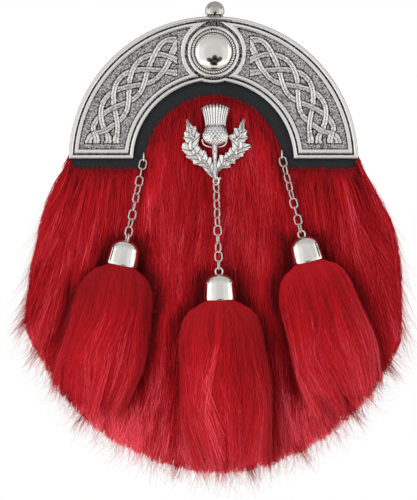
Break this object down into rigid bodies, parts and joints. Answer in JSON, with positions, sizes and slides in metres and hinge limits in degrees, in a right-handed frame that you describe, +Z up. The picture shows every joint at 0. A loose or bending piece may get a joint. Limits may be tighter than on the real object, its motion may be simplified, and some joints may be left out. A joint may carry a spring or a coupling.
{
  "type": "sporran pouch",
  "caption": "Hanging kilt pouch with a long red fur front, an arched cast metal cantle with knotwork and a ball knob, a thistle badge, and hair tassels on chains.",
  "frame": {"origin": "on the back panel's outer face, midway between the two strap loops", "axes": "+Z up as the pouch hangs, +Y out of the back towards the wearer, so the fur front faces -Y"},
  "size_m": [0.1958, 0.0759, 0.2504],
  "materials": {
    "black_leather": "smooth black leather with a fine grain",
    "cast_metal": "satin cast white metal with dark recesses",
    "polished_metal": "mirror polished plate",
    "badge_metal": "cast white metal, polished on its high parts",
    "red_hair": "long straight hair, soft sheen",
    "red_fur": "long combed fur, soft sheen"
  },
  "bodies": {
    "root": {"back_panel": "black_leather", "gusset": "black_leather", "front_panel": "black_leather", "strap_loop_left": "black_leather", "strap_loop_right": "black_leather", "cantle": "cast_metal", "cantle_boss": "polished_metal", "knob": "polished_metal", "thistle_badge": "badge_metal", "chain_staple_left": "polished_metal", "chain_staple_right": "polished_metal", "chain_left": "polished_metal", "chain_centre": "polished_metal", "chain_right": "polished_metal", "tassel_cap_left": "polished_metal", "tassel_cap_centre": "polished_metal", "tassel_cap_right": "polished_metal", "tassel_hair_left": "red_hair", "tassel_hair_centre": "red_hair", "tassel_hair_right": "red_hair", "fur_front": "red_fur"}
  },
  "joints": []
}
